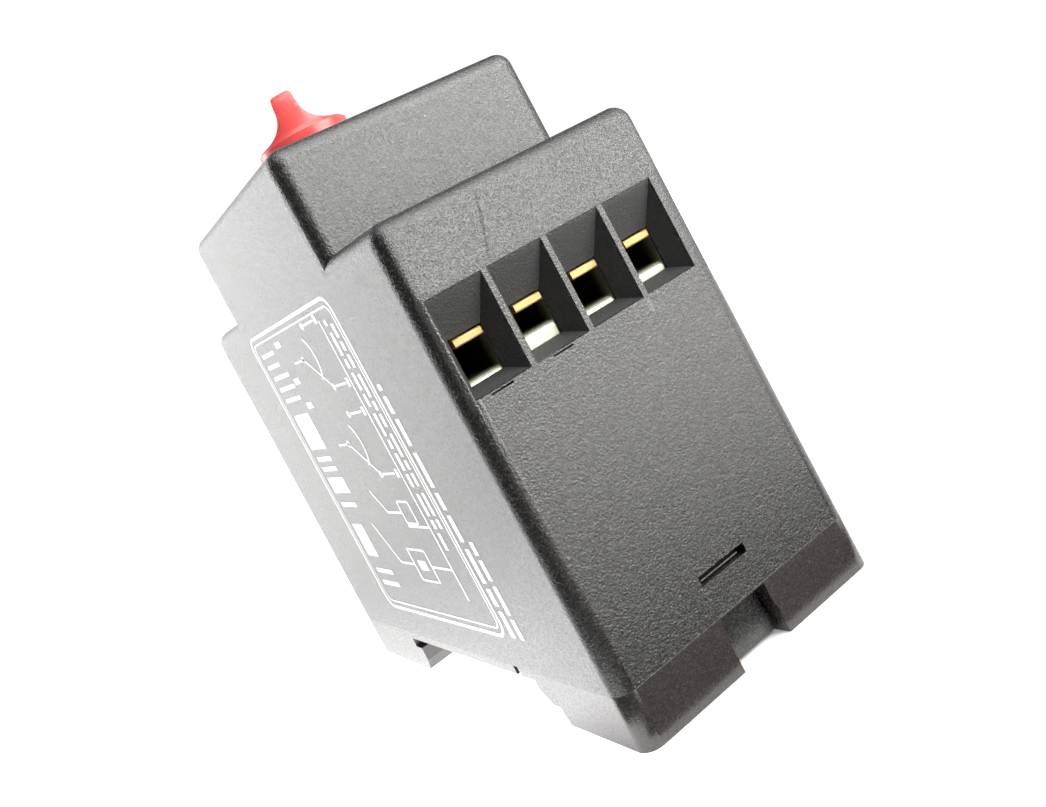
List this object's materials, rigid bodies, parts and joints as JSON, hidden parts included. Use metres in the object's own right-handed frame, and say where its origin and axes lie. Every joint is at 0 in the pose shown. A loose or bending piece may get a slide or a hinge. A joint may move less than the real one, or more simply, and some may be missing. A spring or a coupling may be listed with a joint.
{
  "type": "industrial control relay",
  "caption": "Black stepped DIN-rail time relay with a red front knob, funnelled screw terminals at both ends and a sprung rail latch.",
  "frame": {"origin": "centre of the footprint, in the plane of the two feet on the rail side", "axes": "+X along the mounting rail, +Y up the installed height towards the fixed rail hook, +Z from the rail to the front face with the knob"},
  "size_m": [0.035, 0.075, 0.0826],
  "materials": {
    "black_housing": "fine spark-eroded grain, matt black moulded plastic",
    "black_base": "smoother matt black-brown moulded plastic",
    "black_latch": "matt black moulded plastic",
    "dial_plate": "satin black plate with white dial marks",
    "black_carrier": "matt black moulded plastic",
    "red_knob": "satin red moulded plastic",
    "green_lens": "tinted clear lens",
    "amber_lens": "tinted clear lens",
    "screw_zinc": "zinc-plated steel",
    "cage_metal": "nickel-flashed brass, bright",
    "brass_bar": "plain brass, slightly dulled",
    "spring_steel": "drawn spring wire",
    "spring_bronze": "rolled bronze strip",
    "tinned_wire": "tinned copper",
    "nickel_steel": "nickel-plated soft iron",
    "lamination": "stacked silicon steel sheets",
    "copper_winding": "lacquered copper wire",
    "green_board": "green solder mask on glass-fibre board",
    "ivory_nylon": "natural nylon",
    "nylon_shaft": "natural nylon",
    "blue_case": "blue moulded plastic",
    "phenolic": "phenolic paper board",
    "carbon_track": "carbon resistance track",
    "blue_sleeve": "shrink sleeve on an aluminium can",
    "red_block": "glossy moulded case",
    "blue_disc": "dipped epoxy",
    "black_epoxy": "moulded epoxy",
    "resistor_body": "lacquered film resistor",
    "clear_cover": "clear polycarbonate"
  },
  "bodies": {
    "case": {"housing": "black_housing", "base": "black_base", "front_plate": "dial_plate", "latch_spring": "spring_steel", "pot_case": "blue_case", "pot_base": "phenolic", "pot_track": "carbon_track", "supply_led": "green_lens", "output_led": "amber_lens", "contact_bars_near": "brass_bar", "contact_bars_far": "brass_bar", "terminal_carrier_near": "black_carrier", "terminal_carrier_far": "black_carrier", "main_board": "green_board", "timing_board": "green_board", "link_wires": "tinned_wire", "transformer_core": "lamination", "transformer_bobbin": "ivory_nylon", "transformer_winding": "copper_winding", "transformer_pins": "tinned_wire", "smoothing_capacitor": "blue_sleeve", "film_capacitor": "red_block", "varistor": "blue_disc", "bridge_rectifier": "black_epoxy", "timer_chip": "black_epoxy", "resistors": "resistor_body", "relay_base": "black_epoxy", "relay_cover": "clear_cover", "relay_yoke": "nickel_steel", "relay_core": "nickel_steel", "relay_bobbin": "ivory_nylon", "relay_coil": "copper_winding", "rest_contact": "spring_bronze", "working_contact": "spring_bronze", "relay_pins": "tinned_wire"},
    "latch": {"rail_latch": "black_latch"},
    "knob": {"time_knob": "red_knob", "pot_shaft": "nylon_shaft", "pot_wiper": "spring_bronze"},
    "armature": {"relay_armature": "nickel_steel", "moving_contact": "spring_bronze"},
    "screw_1": {"terminal_screw_1": "screw_zinc"},
    "cage_1": {"clamp_cage_1": "cage_metal"},
    "screw_2": {"terminal_screw_2": "screw_zinc"},
    "cage_2": {"clamp_cage_2": "cage_metal"},
    "screw_3": {"terminal_screw_3": "screw_zinc"},
    "cage_3": {"clamp_cage_3": "cage_metal"},
    "screw_4": {"terminal_screw_4": "screw_zinc"},
    "cage_4": {"clamp_cage_4": "cage_metal"},
    "screw_5": {"terminal_screw_5": "screw_zinc"},
    "cage_5": {"clamp_cage_5": "cage_metal"},
    "screw_6": {"terminal_screw_6": "screw_zinc"},
    "cage_6": {"clamp_cage_6": "cage_metal"},
    "screw_7": {"terminal_screw_7": "screw_zinc"},
    "cage_7": {"clamp_cage_7": "cage_metal"},
    "screw_8": {"terminal_screw_8": "screw_zinc"},
    "cage_8": {"clamp_cage_8": "cage_metal"}
  },
  "joints": [
    {"name": "latch_slide", "type": "slide", "parent": "case", "child": "latch", "axis": [0, -1, 0], "range_m": [0, 0.003], "stiffness_N_per_m": 600, "springref_m": -0.002, "deforming": ["latch_spring"]},
    {"name": "knob_turn", "type": "hinge", "parent": "case", "child": "knob", "pos_m": [0, 0.007, 0.0713], "axis": [0, 0, 1], "range_deg": [-111, 159]},
    {"name": "armature_tilt", "type": "hinge", "parent": "case", "child": "armature", "pos_m": [-0.0069, 0.013, 0.0488], "axis": [0, 1, 0], "range_deg": [0, 3], "stiffness_Nm_per_rad": 0.02, "springref_deg": -3.44},
    {"name": "screw_turn_1", "type": "hinge", "parent": "case", "child": "screw_1", "pos_m": [-0.01245, -0.0316, 0.0529], "axis": [0, 0, -1], "range_deg": [-288.1, 2376.1]},
    {"name": "cage_rise_1", "type": "slide", "parent": "case", "child": "cage_1", "axis": [0, 0, 1], "range_m": [-0.0004, 0.0033]},
    {"name": "screw_turn_2", "type": "hinge", "parent": "case", "child": "screw_2", "pos_m": [-0.00455, -0.0316, 0.0529], "axis": [0, 0, -1], "range_deg": [-1152.1, 1512.1]},
    {"name": "cage_rise_2", "type": "slide", "parent": "case", "child": "cage_2", "axis": [0, 0, 1], "range_m": [-0.0016, 0.0021]},
    {"name": "screw_turn_3", "type": "hinge", "parent": "case", "child": "screw_3", "pos_m": [0.00335, -0.0316, 0.0529], "axis": [0, 0, -1], "range_deg": [-432.1, 2232.1]},
    {"name": "cage_rise_3", "type": "slide", "parent": "case", "child": "cage_3", "axis": [0, 0, 1], "range_m": [-0.0006, 0.0031]},
    {"name": "screw_turn_4", "type": "hinge", "parent": "case", "child": "screw_4", "pos_m": [0.01125, -0.0316, 0.0529], "axis": [0, 0, -1], "range_deg": [-720.1, 1944.1]},
    {"name": "cage_rise_4", "type": "slide", "parent": "case", "child": "cage_4", "axis": [0, 0, 1], "range_m": [-0.001, 0.0027]},
    {"name": "screw_turn_5", "type": "hinge", "parent": "case", "child": "screw_5", "pos_m": [0.01245, 0.0316, 0.0529], "axis": [0, 0, -1], "range_deg": [-360.1, 2304.1]},
    {"name": "cage_rise_5", "type": "slide", "parent": "case", "child": "cage_5", "axis": [0, 0, 1], "range_m": [-0.0005, 0.0032]},
    {"name": "screw_turn_6", "type": "hinge", "parent": "case", "child": "screw_6", "pos_m": [0.00455, 0.0316, 0.0529], "axis": [0, 0, -1], "range_deg": [-936.1, 1728.1]},
    {"name": "cage_rise_6", "type": "slide", "parent": "case", "child": "cage_6", "axis": [0, 0, 1], "range_m": [-0.0013, 0.0024]},
    {"name": "screw_turn_7", "type": "hinge", "parent": "case", "child": "screw_7", "pos_m": [-0.00335, 0.0316, 0.0529], "axis": [0, 0, -1], "range_deg": [-216.1, 2448.1]},
    {"name": "cage_rise_7", "type": "slide", "parent": "case", "child": "cage_7", "axis": [0, 0, 1], "range_m": [-0.0003, 0.0034]},
    {"name": "screw_turn_8", "type": "hinge", "parent": "case", "child": "screw_8", "pos_m": [-0.01125, 0.0316, 0.0529], "axis": [0, 0, -1], "range_deg": [-576.1, 2088.1]},
    {"name": "cage_rise_8", "type": "slide", "parent": "case", "child": "cage_8", "axis": [0, 0, 1], "range_m": [-0.0008, 0.0029]}
  ],
  "couplings": [
    {"joint": "screw_turn_1", "follows": "cage_rise_1", "rad_per_m": 12566},
    {"joint": "screw_turn_2", "follows": "cage_rise_2", "rad_per_m": 12566},
    {"joint": "screw_turn_3", "follows": "cage_rise_3", "rad_per_m": 12566},
    {"joint": "screw_turn_4", "follows": "cage_rise_4", "rad_per_m": 12566},
    {"joint": "screw_turn_5", "follows": "cage_rise_5", "rad_per_m": 12566},
    {"joint": "screw_turn_6", "follows": "cage_rise_6", "rad_per_m": 12566},
    {"joint": "screw_turn_7", "follows": "cage_rise_7", "rad_per_m": 12566},
    {"joint": "screw_turn_8", "follows": "cage_rise_8", "rad_per_m": 12566}
  ]
}
